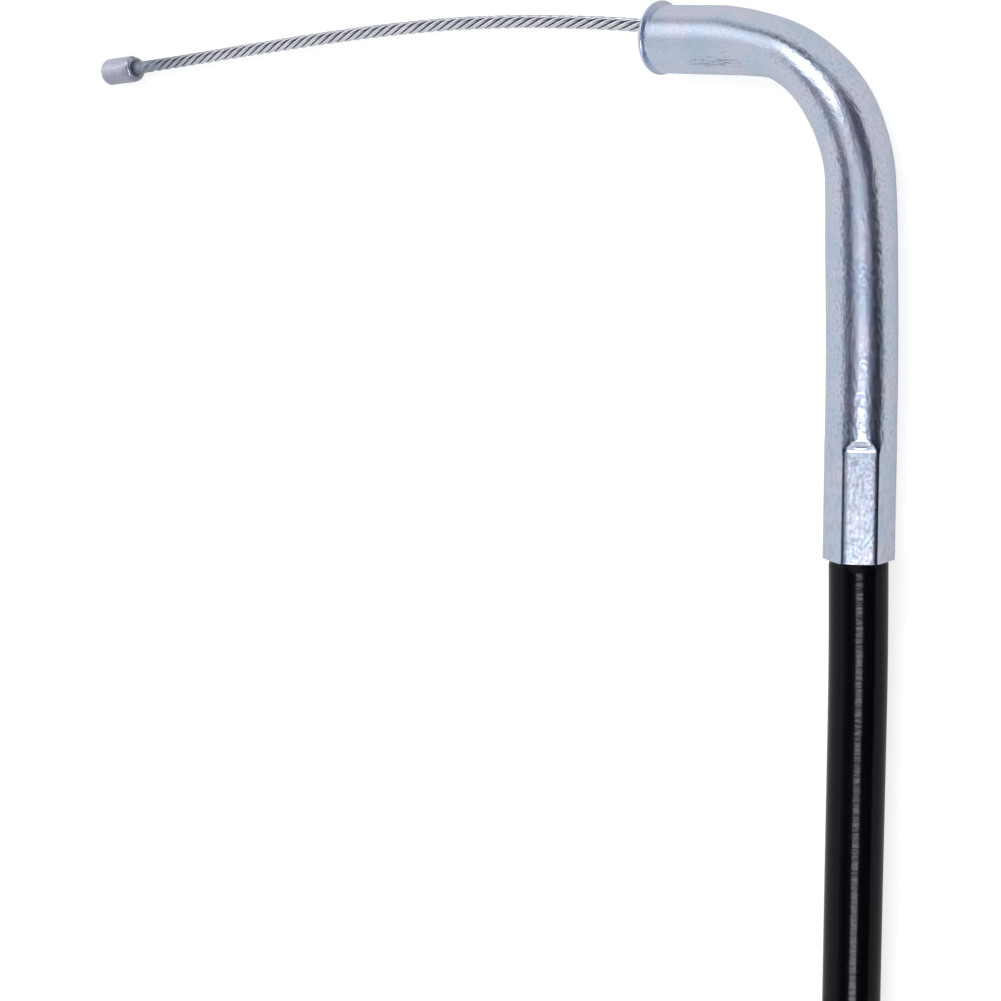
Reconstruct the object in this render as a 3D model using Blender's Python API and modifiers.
# Control cable: a sheathed inner wire with a bent, hex-crimped steel tube on its near end.
# The cable lies on a flat surface at z = 0. The tube's free leg points along -X, and its
# crimped leg, with the conduit, points along -Y. Sizes are in millimetres, and MM turns them
# into metres. The origin is under the middle of the tube, the exposed wire and its barrel.
import math

import bmesh
import bpy
from mathutils import Matrix, Vector

MM = 0.001
CLEARANCE = 0.3            # between pieces that touch

# Bent steel tube
TUBE_OD = 8.0
TUBE_WALL = 0.5
FREE_LEG = 11.4            # from the mouth to the start of the bend
BEND_RADIUS = 15.9
BEND_ANGLE = 86.4          # degrees, the tight part of the bend
EASE_RADIUS = 400.0        # the rest of the right angle is a very slight curve
CRIMPED_LEG = 3.2          # straight tube between that curve and the crimp
BEND_FLATTENING = 0.12     # the tube gets thinner across the bend by this share
BEND_RAMP = 6.0            # over which the flattening grows

# Flared lip on the tube's mouth
LIP_FLARE = 0.3            # all round
LIP_SHIFT = 0.2            # the flare is uneven: more of it on the outer and the upper side
LIP_LENGTH = 1.1

# Hexagonal crimp
CRIMP_LENGTH = 14.1
CRIMP_ACROSS_FLATS = 7.3
CRIMP_ACROSS_CORNERS = 8.1
CRIMP_RAMP = 1.5
CRIMP_FLATS = 6
CRIMP_FLAT_TILT = 57.0     # degrees from +X to the first flat's normal

# Conduit: jacket, flat-wire winding and liner
CONDUIT_OD = 6.7
CONDUIT_IN_CRIMP = 12.0    # length of conduit inside the crimp
WINDING_WALL = 0.5
WINDING_PITCH = 1.6
LINER_WALL = 0.35
WIRE_OD = 1.5
WIRE_RUNNING_GAP = 0.3     # round the inner wire in the liner

# Barrel that is swaged on each end of the inner wire
BARREL_OD = 3.5
BARREL_LENGTH = 5.7
BARREL_BORE_DEPTH = 4.2
BARREL_END_ROUND = 0.9     # at the blind end
BARREL_NOSE_ROUND = 0.5    # where the wire goes in

# Travel of the inner wire through the conduit
WIRE_TRAVEL = 15.0
WIRE_END_IN_MOUTH = 1.0    # where the moving stretch starts, inside the tube's mouth
WIRE_SETTLING = 45.0       # over which the exposed wire comes down to the barrel's height

# Sleeve on the conduit's far end
SLEEVE_OD = 8.0
SLEEVE_LENGTH = 22.0
SLEEVE_END_WALL = 1.2
SLEEVE_HOLE = 2.3
SLEEVE_END_ROUND = 0.6
SLEEVE_GROOVE_DEPTH = 0.35
SLEEVE_GROOVE_WIDTH = 1.6
SLEEVE_GROOVE_PLACES = (0.7, 0.3)    # as shares of the conduit inside the sleeve

# Coil that puts away the length of conduit that isn't laid out
COIL_TURN_RADIUS = 44.7    # centreline of the outer turns
COIL_TURN_GAP = 0.3        # between neighbouring turns
COIL_CENTRE_Y = -174.0
TIE_THICKNESS = 0.8
TIE_WIDTH = 5.0
TIE_ANGLES = (150.0, 330.0)

# Facets
TUBE_SIDES = 36
ROUND_SIDES = 24
COIL_SIDES = 48
BEND_STEPS = 14
CRIMP_STEPS = 4
HIDDEN_WIRE_STEPS = 26
TAIL_STEPS = 10
WINDING_STEPS = 16         # to a turn

# Exposed inner wire: centreline chosen by hand, as (distance out of the tube's mouth,
# shift towards +Y). It springs a little sideways before it drops back.
WIRE_ROUTE = [
    (-WIRE_END_IN_MOUTH, 1.20),
    (2.9, 1.48),
    (8.8, 1.73),
    (14.8, 1.84),
    (20.9, 1.85),
    (27.1, 1.70),
    (33.5, 1.42),
    (40.0, 0.94),
    (46.7, 0.33),
    (53.6, -0.41),
    (60.6, -1.25),
    (67.8, -2.16),
    (75.1, -3.11),
    (82.3, -4.06),
    (93.1, -5.40),
]

# Conduit: steps from the crimp's end to the coil, as (distance along -Y, X shift, height)
CONDUIT_ROUTE = [
    (0.6, 0.0, 4.05),
    (8.0, -0.05, 3.85),
    (16.0, -0.15, 3.60),
    (26.0, -0.25, 3.50),
    (38.0, -0.30, 3.50),
    (50.0, -0.30, 3.55),
    (62.0, -0.20, 3.75),
    (74.0, -0.08, 4.15),
    (84.0, 0.0, 4.50),
]
TAIL_DROP_START = 18.0     # past the point where the conduit leaves the turn
TAIL_DROP_LENGTH = 30.0

# Sizes that follow from the ones above
LIP_RADIUS = TUBE_OD / 2 + LIP_FLARE
TUBE_HEIGHT = LIP_RADIUS - LIP_SHIFT
EASE_ANGLE = 90.0 - BEND_ANGLE
TUBE_BORE = TUBE_OD - 2 * TUBE_WALL
JACKET_FLATS = CRIMP_ACROSS_FLATS - 2 * TUBE_WALL - 2 * CLEARANCE
JACKET_CORNERS = CRIMP_ACROSS_CORNERS - 2 * TUBE_WALL - 2 * CLEARANCE
LINER_BORE = WIRE_OD + 2 * WIRE_RUNNING_GAP
LINER_OD = LINER_BORE + 2 * LINER_WALL
WINDING_BORE = LINER_OD + 2 * CLEARANCE
WINDING_OD = WINDING_BORE + 2 * WINDING_WALL
JACKET_BORE = WINDING_OD + 2 * CLEARANCE
SLEEVE_BORE = CONDUIT_OD + CLEARANCE
CONDUIT_IN_SLEEVE = SLEEVE_LENGTH - SLEEVE_END_WALL - CLEARANCE
FAR_WIRE_INSIDE = SLEEVE_LENGTH
COIL_PITCH = CONDUIT_OD + COIL_TURN_GAP
COIL_OUTER = COIL_TURN_RADIUS + CONDUIT_OD / 2
COIL_INNER = COIL_TURN_RADIUS - COIL_PITCH - CONDUIT_OD / 2
COIL_BOTTOM = TIE_THICKNESS + CLEARANCE
COIL_TOP = COIL_BOTTOM + CONDUIT_OD + COIL_PITCH
BARREL_BORE = WIRE_OD + 2 * CLEARANCE


def clear_scene():
    for obj in list(bpy.data.objects):
        bpy.data.objects.remove(obj, do_unlink=True)


def make_collection(name):
    collection = bpy.data.collections.new(name)
    bpy.context.scene.collection.children.link(collection)
    return collection


def make_material(name, colour, roughness, metallic):
    material = bpy.data.materials.new(name)
    material.use_nodes = True
    shader = material.node_tree.nodes["Principled BSDF"]
    shader.inputs["Base Color"].default_value = (*colour, 1.0)
    shader.inputs["Roughness"].default_value = roughness
    shader.inputs["Metallic"].default_value = metallic
    return material


def add_object(name, data, collection, material):
    obj = bpy.data.objects.new(name, data)
    collection.objects.link(obj)
    data.materials.append(material)
    return obj


def mesh_from_bmesh(name, bm):
    bmesh.ops.recalc_face_normals(bm, faces=bm.faces)
    mesh = bpy.data.meshes.new(name)
    bm.to_mesh(mesh)
    bm.free()
    mesh.shade_smooth()
    mesh.set_sharp_from_angle(angle=math.radians(35))
    return mesh


def smooth_path(points, steps):
    """Points on a smooth curve through the given ones (Catmull-Rom), steps to each span."""
    vectors = [Vector(point) for point in points]
    padded = [2 * vectors[0] - vectors[1]] + vectors + [2 * vectors[-1] - vectors[-2]]
    path = []
    for i in range(len(vectors) - 1):
        p0, p1, p2, p3 = padded[i:i + 4]
        for k in range(steps):
            t = k / steps
            path.append(0.5 * (2 * p1 + (p2 - p0) * t + (2 * p0 - 5 * p1 + 4 * p2 - p3) * t ** 2
                               + (3 * p1 - p0 - 3 * p2 + p3) * t ** 3))
    path.append(vectors[-1])
    return path


def add_round_path(name, path, diameter, collection, material, resolution=2):
    """A solid round rod or cord along a path in millimetres."""
    curve = bpy.data.curves.new(name, "CURVE")
    curve.dimensions = "3D"
    curve.bevel_depth = diameter / 2 * MM
    curve.bevel_resolution = resolution
    curve.use_fill_caps = True
    spline = curve.splines.new("POLY")
    spline.points.add(len(path) - 1)
    for point, place in zip(spline.points, path):
        point.co = (*(Vector(place) * MM), 1.0)
    return add_object(name, curve, collection, material)


def add_turned(name, profile, collection, material, closed):
    """A profile of (radius, height) in millimetres, turned round Z. It runs top to bottom."""
    bm = bmesh.new()
    verts = [bm.verts.new((radius * MM, 0, height * MM)) for radius, height in profile]
    for a, b in zip(verts, verts[1:]):
        bm.edges.new((a, b))
    if closed:
        bm.edges.new((verts[-1], verts[0]))
    mesh = bpy.data.meshes.new(name)
    bm.to_mesh(mesh)
    bm.free()
    obj = add_object(name, mesh, collection, material)
    screw = obj.modifiers.new("turn", "SCREW")
    screw.steps = ROUND_SIDES
    screw.render_steps = ROUND_SIDES
    screw.use_merge_vertices = True
    screw.merge_threshold = 0.00001
    screw.use_smooth_shade = True
    return obj


def place_along(obj, start, direction):
    """Puts the object's origin at start and its Z axis along direction."""
    turn = Vector(direction).to_track_quat("Z", "Y").to_matrix().to_4x4()
    obj.matrix_world = Matrix.Translation(Vector(start) * MM) @ turn


def round_corner(centre, radius, first, last, steps=4):
    """Points of an arc in a profile, with angles in degrees."""
    points = []
    for k in range(steps + 1):
        angle = math.radians(first + (last - first) * k / steps)
        points.append((centre[0] + radius * math.cos(angle), centre[1] + radius * math.sin(angle)))
    return points


def smooth_step(x):
    x = min(max(x, 0.0), 1.0)
    return x * x * (3 - 2 * x)


def tube_lengths():
    """Distances from the mouth to where the bend, the slight curve and the crimp change."""
    bend_end = FREE_LEG + BEND_RADIUS * math.radians(BEND_ANGLE)
    ease_end = bend_end + EASE_RADIUS * math.radians(EASE_ANGLE)
    crimp_start = ease_end + CRIMPED_LEG
    return bend_end, ease_end, crimp_start, crimp_start + CRIMP_LENGTH


def tube_frame(s):
    """Centre and outward side of the bent tube, at a distance s from its mouth."""
    bend_end, ease_end = tube_lengths()[:2]
    turned = math.radians(BEND_ANGLE)
    centre = Vector((-FREE_LEG, 0, TUBE_HEIGHT))
    centre.x += min(s, FREE_LEG)
    heading = 0.0
    if s > FREE_LEG:
        heading = min(s - FREE_LEG, bend_end - FREE_LEG) / BEND_RADIUS
        centre.x += BEND_RADIUS * math.sin(heading)
        centre.y -= BEND_RADIUS * (1 - math.cos(heading))
    if s > bend_end:
        extra = min(s - bend_end, ease_end - bend_end) / EASE_RADIUS
        heading = turned + extra
        centre.x += EASE_RADIUS * (math.sin(heading) - math.sin(turned))
        centre.y -= EASE_RADIUS * (math.cos(turned) - math.cos(heading))
    if s > ease_end:
        centre.y -= s - ease_end
    return centre, Vector((math.sin(heading), math.cos(heading), 0))


def hexagon_radius(angle, flat, corner):
    """Radius of a hexagon with rounded corners, at an angle in degrees."""
    flat_angle = 360.0 / CRIMP_FLATS
    from_flat = (angle - CRIMP_FLAT_TILT + flat_angle / 2) % flat_angle - flat_angle / 2
    return min(corner, flat / math.cos(math.radians(from_flat)))


def crimp_radius(angle, depth):
    """Radius of the crimped section: six flats that sink into a round tube by depth, 0 to 1."""
    tube = TUBE_OD / 2
    flat = tube + depth * (CRIMP_ACROSS_FLATS / 2 - tube)
    corner = tube + depth * (CRIMP_ACROSS_CORNERS / 2 - tube)
    return hexagon_radius(angle, flat, corner)


def tube_section(s):
    """Outer and inner ring of points of the bent tube, at a distance s from its mouth."""
    bend_end, _, crimp_start, _ = tube_lengths()
    centre, side = tube_frame(s)
    up = Vector((0, 0, 1))
    flare = max(0.0, 1 - s / LIP_LENGTH) ** 2
    into_bend = smooth_step((s - FREE_LEG) / BEND_RAMP)
    out_of_bend = smooth_step((s - bend_end) / BEND_RAMP)
    squeeze = BEND_FLATTENING * (into_bend - out_of_bend)
    depth = smooth_step((s - crimp_start) / CRIMP_RAMP)
    shift = (side + up) * LIP_SHIFT * flare
    rings = []
    for wall in (0.0, TUBE_WALL):
        ring = []
        for k in range(TUBE_SIDES):
            angle = 360.0 * k / TUBE_SIDES
            radius = crimp_radius(angle, depth) - wall + LIP_FLARE * flare
            across = radius * (1 - squeeze) * math.cos(math.radians(angle))
            upward = radius * (1 + squeeze / 2) * math.sin(math.radians(angle))
            upward = max(upward, wall - TUBE_HEIGHT)
            ring.append(centre + shift + side * across + up * upward)
        rings.append(ring)
    return rings


def tube_stations():
    bend_end, ease_end, crimp_start, tube_end = tube_lengths()
    stations = [LIP_LENGTH * share for share in (0.0, 0.22, 0.48, 1.0)]
    stations += [FREE_LEG + (bend_end - FREE_LEG) * k / BEND_STEPS for k in range(BEND_STEPS + 1)]
    stations += [bend_end + BEND_RAMP, (bend_end + ease_end) / 2, ease_end]
    stations += [crimp_start + CRIMP_RAMP * k / CRIMP_STEPS for k in range(CRIMP_STEPS + 1)]
    stations.append(tube_end)
    return sorted(set(stations))


def add_elbow_tube(collection, material):
    """The bent tube is a loft: round at the lip, flattened in the bend, hexagonal at the crimp."""
    bm = bmesh.new()
    sections = [[[bm.verts.new(p * MM) for p in ring] for ring in tube_section(s)]
                for s in tube_stations()]
    for first, second in zip(sections, sections[1:]):
        for wall in (0, 1):
            for k in range(TUBE_SIDES):
                n = (k + 1) % TUBE_SIDES
                bm.faces.new((first[wall][k], first[wall][n], second[wall][n], second[wall][k]))
    for section in (sections[0], sections[-1]):
        for k in range(TUBE_SIDES):
            n = (k + 1) % TUBE_SIDES
            bm.faces.new((section[0][k], section[0][n], section[1][n], section[1][k]))
    return add_object("elbow_tube", mesh_from_bmesh("elbow_tube", bm), collection, material)


def wire_height_in_mouth():
    """The wire rests low in the bore, and stays clear of it along its whole travel."""
    reach = TUBE_BORE / 2 - WIRE_OD / 2 - CLEARANCE
    widest = max(across for _, across in WIRE_ROUTE)
    return TUBE_HEIGHT - math.sqrt(max(reach ** 2 - widest ** 2, 0))


def wire_route():
    high = wire_height_in_mouth()
    low = BARREL_OD / 2
    points = []
    for out, across in WIRE_ROUTE:
        height = high + (low - high) * smooth_step((out - WIRE_TRAVEL) / WIRE_SETTLING)
        points.append((-FREE_LEG - out, across, height))
    return smooth_path(points, 2)


def add_barrel(name, nose, direction, collection, material):
    """Barrel with a blind bore. Its nose, where the wire goes in, is at nose."""
    radius = BARREL_OD / 2
    bore = BARREL_BORE / 2
    profile = [(0, BARREL_LENGTH)]
    profile += round_corner((radius - BARREL_END_ROUND, BARREL_LENGTH - BARREL_END_ROUND),
                            BARREL_END_ROUND, 90, 0)
    profile += round_corner((radius - BARREL_NOSE_ROUND, BARREL_NOSE_ROUND),
                            BARREL_NOSE_ROUND, 0, -90)
    profile += [(bore, 0), (bore, BARREL_BORE_DEPTH), (0, BARREL_BORE_DEPTH)]
    obj = add_turned(name, profile, collection, material, closed=False)
    place_along(obj, nose, direction)
    return obj


def add_hollow_prism(name, outline, bore, length, collection, material):
    """A flat outline with a round hole, as a 2D curve, along Z from the origin."""
    curve = bpy.data.curves.new(name, "CURVE")
    curve.dimensions = "2D"
    curve.fill_mode = "BOTH"
    curve.extrude = length / 2 * MM
    hole = [(bore / 2 * math.cos(2 * math.pi * k / ROUND_SIDES),
             bore / 2 * math.sin(2 * math.pi * k / ROUND_SIDES)) for k in range(ROUND_SIDES)]
    for points in (outline, hole):
        spline = curve.splines.new("POLY")
        spline.points.add(len(points) - 1)
        spline.use_cyclic_u = True
        for point, (x, y) in zip(spline.points, points):
            point.co = (x * MM, y * MM, 0, 1)
    return add_object(name, curve, collection, material)


def add_winding(name, length, collection, material):
    """Close helix of flat wire round Z, from the origin upward."""
    turns = (length - WINDING_PITCH) / WINDING_PITCH
    wire_width = WINDING_PITCH - CLEARANCE
    bm = bmesh.new()
    corners = [(WINDING_BORE / 2, 0), (WINDING_OD / 2, 0),
               (WINDING_OD / 2, wire_width), (WINDING_BORE / 2, wire_width)]
    verts = [bm.verts.new((r * MM, 0, z * MM)) for r, z in corners]
    start = bm.faces.new(verts)
    steps = round(turns * WINDING_STEPS)
    end = bmesh.ops.spin(bm, geom=start.edges[:] + verts, axis=(0, 0, 1), cent=(0, 0, 0),
                         dvec=(0, 0, turns * WINDING_PITCH / steps * MM),
                         angle=2 * math.pi * turns, steps=steps)["geom_last"]
    bmesh.ops.contextual_create(bm, geom=[part for part in end if isinstance(part, bmesh.types.BMEdge)])
    return add_object(name, mesh_from_bmesh(name, bm), collection, material)


def add_liner(name, length, collection, material):
    outer = LINER_OD / 2
    inner = LINER_BORE / 2
    profile = [(outer, length), (outer, 0), (inner, 0), (inner, length)]
    return add_turned(name, profile, collection, material, closed=True)


def jacket_outline(across_flats, across_corners):
    """Outline of the jacket where the crimp has pressed it to a hexagon."""
    points = []
    for k in range(TUBE_SIDES):
        angle = 360.0 * k / TUBE_SIDES
        radius = hexagon_radius(angle, across_flats / 2, across_corners / 2)
        points.append((radius * math.cos(math.radians(angle)), radius * math.sin(math.radians(angle))))
    return points


def round_outline(diameter):
    return jacket_outline(diameter * 2, diameter)


def add_conduit_end(suffix, outline, mouth, outward, length, collection, materials):
    """The three layers of the conduit inside a tube or sleeve, whose mouth faces outward."""
    outward = Vector(outward)
    up = Vector((0, 0, 1))
    turn = Matrix((up.cross(outward), up, outward)).transposed().to_4x4()
    inner_end = Vector(mouth) - outward * length
    jacket = add_hollow_prism("jacket_end_" + suffix, outline, JACKET_BORE, length,
                              collection, materials["jacket"])
    jacket.matrix_world = Matrix.Translation((inner_end + outward * length / 2) * MM) @ turn
    winding = add_winding("winding_end_" + suffix, length, collection, materials["winding"])
    winding.matrix_world = Matrix.Translation(inner_end * MM) @ turn
    liner = add_liner("liner_end_" + suffix, length, collection, materials["liner"])
    liner.matrix_world = Matrix.Translation(inner_end * MM) @ turn


def hidden_wire_path():
    """The inner wire through the bend, from where the moving stretch's travel ends."""
    tube_end = tube_lengths()[3]
    start = WIRE_END_IN_MOUTH + WIRE_TRAVEL + WIRE_OD / 2 + CLEARANCE
    entry = tube_end - CONDUIT_IN_CRIMP - 2 * WIRE_OD
    path = []
    for k in range(HIDDEN_WIRE_STEPS + 1):
        s = start + (entry - start) * k / HIDDEN_WIRE_STEPS
        centre, side = tube_frame(s)
        settle = 1 - smooth_step(k / HIDDEN_WIRE_STEPS)
        drop = (wire_height_in_mouth() - TUBE_HEIGHT) * settle
        path.append(centre + side * WIRE_ROUTE[0][1] * settle + Vector((0, 0, drop)))
    path.append(tube_frame(tube_end - CONDUIT_IN_CRIMP)[0])
    path.append(tube_frame(tube_end)[0])
    return path


def coil_centre():
    end = tube_frame(tube_lengths()[3])[0]
    return Vector((end.x - COIL_TURN_RADIUS, COIL_CENTRE_Y, 0))


def turn_exit_distance():
    """How far past its tangent point a cord of the outer turn is clear of the coil's solid."""
    nearest = COIL_TURN_RADIUS - CONDUIT_OD / 2
    return math.sqrt((COIL_OUTER + CLEARANCE) ** 2 - nearest ** 2)


def conduit_route():
    end = tube_frame(tube_lengths()[3])[0]
    points = [(end.x + dx, end.y - along, height) for along, dx, height in CONDUIT_ROUTE]
    last = coil_centre().y + turn_exit_distance()
    points = [point for point in points if point[1] > last + CONDUIT_OD]
    points.append((end.x, last, COIL_BOTTOM + CONDUIT_OD / 2))
    points[0] = (end.x, end.y - CLEARANCE, TUBE_HEIGHT)
    return smooth_path(points, 2)


def tail_height(distance):
    """Height of the conduit's last stretch, which comes down from the coil's upper layer."""
    top = COIL_TOP - CONDUIT_OD / 2
    share = smooth_step((distance - TAIL_DROP_START) / TAIL_DROP_LENGTH)
    return top + (SLEEVE_OD / 2 - top) * share


def tail_route():
    centre = coil_centre()
    y = centre.y - COIL_TURN_RADIUS
    first = turn_exit_distance()
    last = TAIL_DROP_START + TAIL_DROP_LENGTH - CLEARANCE
    path = []
    for k in range(TAIL_STEPS + 1):
        distance = first + (last - first) * k / TAIL_STEPS
        path.append(Vector((centre.x - distance, y, tail_height(distance))))
    return path


def sleeve_mouth():
    centre = coil_centre()
    distance = TAIL_DROP_START + TAIL_DROP_LENGTH
    return Vector((centre.x - distance, centre.y - COIL_TURN_RADIUS, SLEEVE_OD / 2))


def add_coil(collection, material):
    """Outer shape of the wound conduit: a ring with rounded corners."""
    corner = CONDUIT_OD / 2
    profile = round_corner((COIL_OUTER - corner, COIL_TOP - corner), corner, 90, 0)
    profile += round_corner((COIL_OUTER - corner, COIL_BOTTOM + corner), corner, 0, -90)
    profile += round_corner((COIL_INNER + corner, COIL_BOTTOM + corner), corner, -90, -180)
    profile += round_corner((COIL_INNER + corner, COIL_TOP - corner), corner, 180, 90)
    coil = add_turned("conduit_coil", profile, collection, material, closed=True)
    coil.modifiers["turn"].steps = COIL_SIDES
    coil.modifiers["turn"].render_steps = COIL_SIDES
    coil.location = coil_centre() * MM


def add_tie(name, angle, collection, material):
    """A flat strap round the coil's section."""
    half_width = (COIL_OUTER - COIL_INNER) / 2 + CLEARANCE
    half_height = (COIL_TOP - COIL_BOTTOM) / 2 + CLEARANCE
    curve = bpy.data.curves.new(name, "CURVE")
    curve.dimensions = "2D"
    curve.fill_mode = "BOTH"
    curve.extrude = TIE_WIDTH / 2 * MM
    for grow in (TIE_THICKNESS, 0.0):
        corner = CONDUIT_OD / 2 + CLEARANCE + grow
        points = []
        for quarter, (sx, sy) in enumerate(((1, 1), (-1, 1), (-1, -1), (1, -1))):
            middle = (sx * (half_width + grow - corner), sy * (half_height + grow - corner))
            points += round_corner(middle, corner, 90 * quarter, 90 * quarter + 90, 5)
        spline = curve.splines.new("POLY")
        spline.points.add(len(points) - 1)
        spline.use_cyclic_u = True
        for point, (x, y) in zip(spline.points, points):
            point.co = (x * MM, y * MM, 0, 1)
    tie = add_object(name, curve, collection, material)
    middle_radius = (COIL_OUTER + COIL_INNER) / 2
    outward = Vector((math.cos(math.radians(angle)), math.sin(math.radians(angle)), 0))
    place = coil_centre() + outward * middle_radius
    place.z = (COIL_TOP + COIL_BOTTOM) / 2
    up = Vector((0, 0, 1))
    turn = Matrix((outward, up, outward.cross(up))).transposed().to_4x4()
    tie.matrix_world = Matrix.Translation(place * MM) @ turn


def add_far_sleeve(collection, material):
    """Straight sleeve with an end wall and two rolled grooves that hold the conduit."""
    outer = SLEEVE_OD / 2
    bore = SLEEVE_BORE / 2
    hole = SLEEVE_HOLE / 2
    groove = outer - SLEEVE_GROOVE_DEPTH
    profile = [(hole, SLEEVE_LENGTH)]
    profile += round_corner((outer - SLEEVE_END_ROUND, SLEEVE_LENGTH - SLEEVE_END_ROUND),
                            SLEEVE_END_ROUND, 90, 0, 3)
    for middle in [CONDUIT_IN_SLEEVE * share for share in SLEEVE_GROOVE_PLACES]:
        half = SLEEVE_GROOVE_WIDTH / 2
        profile += [(outer, middle + half), (groove, middle + half / 2),
                    (groove, middle - half / 2), (outer, middle - half)]
    profile += [(outer, 0.0), (bore, 0.0), (bore, SLEEVE_LENGTH - SLEEVE_END_WALL),
                (hole, SLEEVE_LENGTH - SLEEVE_END_WALL)]
    sleeve = add_turned("far_sleeve", profile, collection, material, closed=True)
    place_along(sleeve, sleeve_mouth(), (-1, 0, 0))


def stand_on_origin(collection, pieces):
    """Moves everything so that the origin is under the middle of the given pieces."""
    bpy.context.view_layer.update()
    graph = bpy.context.evaluated_depsgraph_get()
    places = []
    for piece in pieces:
        solid = piece.evaluated_get(graph)
        places += [solid.matrix_world @ vertex.co for vertex in solid.to_mesh().vertices]
        solid.to_mesh_clear()
    middle = Vector(((min(p.x for p in places) + max(p.x for p in places)) / 2,
                     (min(p.y for p in places) + max(p.y for p in places)) / 2, 0))
    for obj in collection.objects:
        obj.matrix_world = Matrix.Translation(-middle) @ obj.matrix_world


def build():
    clear_scene()
    cable = make_collection("control_cable")
    zinc = make_material("zinc_plate", (0.72, 0.73, 0.76), 0.28, 1.0)
    steel = make_material("wire_steel", (0.42, 0.42, 0.44), 0.38, 1.0)
    barrel_metal = make_material("barrel_metal", (0.62, 0.62, 0.68), 0.42, 1.0)
    jacket = make_material("black_jacket", (0.012, 0.012, 0.014), 0.28, 0.0)
    liner = make_material("liner_plastic", (0.75, 0.74, 0.70), 0.45, 0.0)
    tie = make_material("tie_plastic", (0.03, 0.03, 0.03), 0.55, 0.0)
    layers = {"jacket": jacket, "winding": steel, "liner": liner}

    add_elbow_tube(cable, zinc)
    tube_end = tube_frame(tube_lengths()[3])[0]

    route = wire_route()
    add_round_path("inner_wire", route, WIRE_OD, cable, steel, resolution=3)
    wire_way = (route[-1] - route[-2]).normalized()
    nose = route[-1] - wire_way * (BARREL_BORE_DEPTH - CLEARANCE)
    add_barrel("barrel", nose, wire_way, cable, barrel_metal)

    add_round_path("inner_wire_in_elbow", hidden_wire_path(), WIRE_OD, cable, steel)
    add_conduit_end("crimp", jacket_outline(JACKET_FLATS, JACKET_CORNERS), tube_end,
                    (0, -1, 0), CONDUIT_IN_CRIMP, cable, layers)

    add_round_path("conduit", conduit_route(), CONDUIT_OD, cable, jacket, resolution=4)
    add_coil(cable, jacket)
    for number, angle in enumerate(TIE_ANGLES, 1):
        add_tie("coil_tie_%d" % number, angle, cable, tie)
    add_round_path("conduit_tail", tail_route(), CONDUIT_OD, cable, jacket, resolution=4)

    add_far_sleeve(cable, zinc)
    mouth = sleeve_mouth()
    add_conduit_end("sleeve", round_outline(SLEEVE_BORE - 2 * CLEARANCE), mouth,
                    (1, 0, 0), CONDUIT_IN_SLEEVE, cable, layers)
    far_way = Vector((-1, 0, 0))
    far_nose = mouth + far_way * (SLEEVE_LENGTH + CLEARANCE)
    far_wire = [far_nose - far_way * FAR_WIRE_INSIDE, far_nose + far_way * (BARREL_BORE_DEPTH - CLEARANCE)]
    add_round_path("far_inner_wire", far_wire, WIRE_OD, cable, steel, resolution=3)
    add_barrel("far_barrel", far_nose, far_way, cable, barrel_metal)

    near = ["elbow_tube", "inner_wire", "barrel"]
    stand_on_origin(cable, [cable.objects[name] for name in near])


build()
